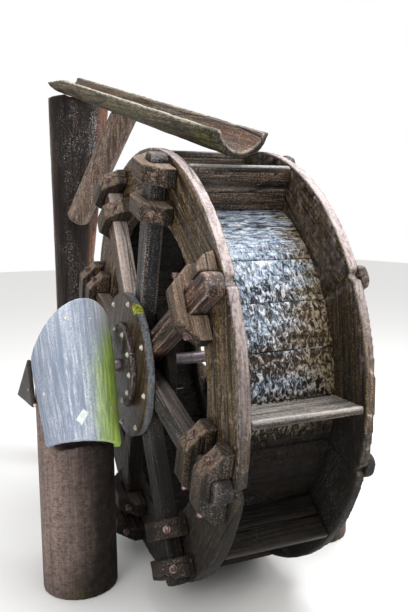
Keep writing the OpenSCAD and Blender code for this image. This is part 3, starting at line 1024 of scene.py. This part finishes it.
timber("launder_wood", "8d7a58", "2a2117", "dad5c9", cracks=0.9, moss="7f8048", years=0.1,
       contrast=1.5, gold="b3ad84", cool="9c5443", glints=0.4)
worn("launder", "frame", "launder_wood", launder_grain, launder_marks,
     voxel=0.0058, rounds=6, depth=0.0045)

# %% [markdown]
# The axle is plain drawn steel, dulled and lightly rusted. The bolts on the blocks have
# rusted through to a dark red-brown, while the small bolts of the hub and the nails in the
# covers are still pale. All three are one recipe with more or less rust. The axle stays the
# plain solid that it is, and only takes the finish.


# %% Steel in three states
def steel(name, bare, rusty, low, high, metal=1.0):
    made, _ = new_material(name)
    place = Socket(made.node_tree).node("TexCoord", pick=3)
    rust = place.noise(70.0, 5.0, 0.65).step(low, high)
    scratch = place.stretch(300.0, 60.0, 60.0).noise(1.0, 3.0, 0.5)
    rough = rust * 0.6 + scratch * 0.4
    bump = rough.node("Bump", Strength=0.6, Distance=0.0008, Height=rough)
    feed(made, Base_Color=rust.blend(bare, rusty), Metallic=(1.0 - rust * 0.85) * metal,
         Roughness=rust * 0.4 + scratch * 0.2 + 0.25, Normal=bump)
    return made


axle_steel = steel("axle_steel", "b9adb4", "6a4a3c", 0.50, 0.70)
rusty_steel = steel("rusty_steel", "a58f8b", "40251c", 0.34, 0.62)
pale_steel = steel("pale_steel", "d9d5cb", "9b8a73", 0.48, 0.70, 0.25)
cad["axle"].data.materials.clear()
cad["axle"].data.materials.append(axle_steel)
print("steel finishes", [made.name for made in (axle_steel, rusty_steel, pale_steel)])

# %% [markdown]
# A bolt is modelled from turned shapes, each a cylinder whose edges a Bevel modifier rounds:
# a washer, a nut or a rounded head, and the end of the bolt that stands out of it. Each kind
# is modelled once and copied later, which keeps the bolts alike and light.


# %% One bolt or nail, modelled once
def turned(sides, radius, low, high, rounding):
    bpy.ops.mesh.primitive_cylinder_add(vertices=sides, radius=radius, depth=high - low,
                                        location=(0.0, 0.0, (low + high) / 2))
    shape = bpy.context.object
    bpy.ops.object.transform_apply(location=True, rotation=False, scale=False)
    apply_modifier(shape, "BEVEL", width=rounding, segments=3, limit_method="ANGLE",
                   angle_limit=math.radians(50.0))
    return shape


def fastener(name, *shapes):
    """Turned shapes joined. Each gives its sides, radius, lower end, upper end and rounding."""
    only(*[turned(*shape) for shape in shapes])
    bpy.ops.object.join()
    made = bpy.context.object
    made.name = name
    bpy.ops.object.shade_smooth_by_angle(angle=math.radians(35.0))
    return made


washer = (28, 0.0130, -0.004, 0.0032, 0.0008)
hexagon = (6, 0.0098, 0.0024, 0.0105, 0.0011)
bolt_end = (18, 0.0052, 0.0095, 0.0155, 0.0011)
small_washer = (24, 0.0095, -0.003, 0.0018, 0.0006)
round_head = (20, 0.0062, 0.001, 0.0072, 0.0026)
nail_head = (18, 0.0056, -0.004, 0.0020, 0.0012)
nut = fastener("nut", washer, hexagon, bolt_end)
small_bolt = fastener("small_bolt", small_washer, round_head)
nail = fastener("nail", nail_head)
print("bolt faces", len(nut.data.polygons), len(small_bolt.data.polygons))

# %% [markdown]
# Each saddle has a bolt through the middle of both sloping ends, but the split saddle at the
# front has none. The hub disc has one bolt over each arm, and the flange a ring of
# bolts about halfway out, at the angles that the picture shows. Copies of one bolt are set
# in place and joined, one piece for each group of like bolts, and ride on the wheel.


# %% Bolts on the wheel
WHEEL_RADIUS = 0.7
OUTER_ROW, INNER_ROW = WHEEL_RADIUS - 0.052, WHEEL_RADIUS - 0.164
SADDLE_HALF = 0.110
SLOPE_MIDDLE = 0.0285  # from the end and from the face of a saddle to the middle of its slope
BOLT_SINK, HEAD_SINK = 0.0015, 0.001
DISC_BOLTS, DISC_BOLT_RADIUS = (120, 72, 24, -16, -59, -104, -150, 165), 0.216
FLANGE_BOLTS, FLANGE_BOLT_RADIUS = (110, 65, 26, -6, -40, -76, -112, -148, 176, 143), 0.117


def set_out(name, master, spots, material, body):
    """Copies of the master at each (place, outward direction, turn), joined as one piece."""
    copies = []
    for place, outward, spin in spots:
        mesh = master.data.copy()
        lean = Vector(outward).to_track_quat("Z", "Y").to_matrix().to_4x4()
        mesh.transform(Matrix.Translation(place) @ lean @ Matrix.Rotation(spin, 4, "Z"))
        copies.append(add_object(name, mesh))
    only(*copies)
    bpy.ops.object.join()
    made = bpy.context.object
    made.name = name
    made.data.materials.clear()
    made.data.materials.append(material)
    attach(made, body)
    print(name, len(spots))


def on_wheel(angle, radius, x, along=0.0):
    """A place on the wheel, and the direction in which it would turn."""
    outward = Vector((0, -math.cos(angle), math.sin(angle)))
    ahead = Vector((0, math.sin(angle), math.cos(angle)))
    return axle + Vector((x, 0, 0)) + outward * radius + ahead * along, ahead


def outer_face(node):
    low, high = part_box(node)
    return max(-low.x, high.x)


def saddle_bolts(side, face, rows):
    x = side * (face - SLOPE_MIDDLE - BOLT_SINK)
    for i in range(ARM_COUNT):
        for radius in rows:
            if side < 0 and radius == OUTER_ROW and i == 0:
                continue
            for end in (-1, 1):
                place, ahead = on_wheel(FIRST_ARM + ARM_STEP * i, radius, x,
                                        end * (SADDLE_HALF - SLOPE_MIDDLE))
                lean = ahead * end + Vector((side, 0, 0))
                yield place, lean.normalized(), random.uniform(0, 1)


def hub_bolts(side, face, angles, radius):
    for angle in angles:
        place = on_wheel(math.radians(angle), radius, side * (face - HEAD_SINK))[0]
        yield place, (side, 0, 0), 0.0


on_saddles, on_discs, on_flanges = [], [], []
for side, name, rows in ((-1, "near", (OUTER_ROW, INNER_ROW)), (1, "far", (INNER_ROW,))):
    on_saddles += saddle_bolts(side, outer_face(name + "_inner_saddles"), rows)
    on_discs += hub_bolts(side, outer_face(name + "_hub_disc"), DISC_BOLTS, DISC_BOLT_RADIUS)
    on_flanges += hub_bolts(side, outer_face(name + "_hub_flange"), FLANGE_BOLTS,
                            FLANGE_BOLT_RADIUS)
set_out("block_bolts", nut, on_saddles, rusty_steel, "wheel")
set_out("hub_disc_bolts", small_bolt, on_discs, pale_steel, "wheel")
set_out("hub_flange_bolts", small_bolt, on_flanges, pale_steel, "wheel")

# %% [markdown]
# The nails in the covers and side boards are set where the near side shows them. Their
# pixels in the picture are turned into places by a ray from the camera through the pixel on
# to the worn piece, and the far side is the near one mirrored. The heads are kept inside the
# side board's outer face.

# %% Nails
COVER_NAIL_PIXELS = ((90, 318), (66, 318), (98, 378), (44, 394), (112, 408))
BOARD_NAIL_PIXELS = ((28, 390), (35, 405))
NAIL_SINK, NAIL_HEAD = 0.0004, 0.0022


def seen_on(piece, pixel_x, pixel_y):
    """The point and outward direction of the piece that the picture shows at a pixel."""
    reach = PHOTO_HEIGHT * LENS / camera_data.sensor_width
    aside, above = (pixel_x - PHOTO_WIDTH / 2) / reach, (PHOTO_HEIGHT / 2 - pixel_y) / reach
    ray = right * aside + up * above - back
    hit, place, facing, _ = piece.ray_cast(camera.matrix_world.translation, ray.normalized())
    return (place, facing) if hit else None


cover, side_board = bpy.data.objects["worn_near_cover"], bpy.data.objects["worn_near_side_board"]
found = [seen_on(cover, *pixel) for pixel in COVER_NAIL_PIXELS]
found += [seen_on(side_board, *pixel) for pixel in BOARD_NAIL_PIXELS]
nails = [(spot[0] - spot[1] * NAIL_SINK, spot[1], 0.0) for spot in found if spot]
for place, _, _ in nails:
    place.x = max(place.x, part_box("near_side_board")[0].x + NAIL_HEAD)
flip = Matrix.Diagonal((-1, 1, 1))
nails += [(flip @ place, flip @ facing, spin) for place, facing, spin in nails]
set_out("cover_nails", nail, nails, pale_steel, "frame")

# %% [markdown]
# A small blank label is stuck on the near cover and follows its curve. It starts as a flat
# grid, each of whose points is laid on the cover where the picture shows it, and Solidify
# gives it the thickness of a card. A flat card would stand off the curved wood.

# %% Label
LABEL_PIXELS = ((83.2, 408.6), (88.8, 413.0), (81.8, 425.2), (76.2, 419.6))
LABEL_LIFT, LABEL_THICK = 0.0012, 0.0008

bpy.ops.mesh.primitive_grid_add(x_subdivisions=4, y_subdivisions=6, size=1.0, calc_uvs=False)
label = bpy.context.object
label.name = label.data.name = "label"
first, second, third, fourth = (Vector(pixel) for pixel in LABEL_PIXELS)
for vertex in label.data.vertices:
    across, down = vertex.co.x + 0.5, vertex.co.y + 0.5
    pixel = first.lerp(second, across).lerp(fourth.lerp(third, across), down)
    place, facing = seen_on(cover, *pixel)
    vertex.co = place + facing * LABEL_LIFT
only(label)
bpy.ops.object.mode_set(mode="EDIT")
bpy.ops.mesh.select_all(action="SELECT")
bpy.ops.mesh.normals_make_consistent(inside=False)
bpy.ops.object.mode_set(mode="OBJECT")
apply_modifier(label, "SOLIDIFY", thickness=LABEL_THICK)

label_white, _ = new_material("label_white")
soil = Socket(label_white.node_tree).node("TexCoord", pick=3).noise(160.0, 4.0, 0.6)
bump = soil.node("Bump", Strength=0.3, Distance=0.0004, Height=soil)
feed(label_white, Base_Color=soil.step(0.45, 0.75).blend("e6ecea", "b9c0b6"),
     Roughness=soil * 0.3 + 0.35, Normal=bump)
label.data.materials.append(label_white)
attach(label, "frame")
for master in (nut, small_bolt, nail):
    bpy.data.objects.remove(master)
print("nails", len(nails), "label faces", len(label.data.polygons))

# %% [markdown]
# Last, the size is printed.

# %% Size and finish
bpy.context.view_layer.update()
triangles = {piece.name: sum(len(face.vertices) - 2 for face in piece.data.polygons)
             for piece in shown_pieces() if piece.type == "MESH"}
largest = max(triangles, key=triangles.get)
print("triangles", sum(triangles.values()), "largest", largest, triangles[largest])
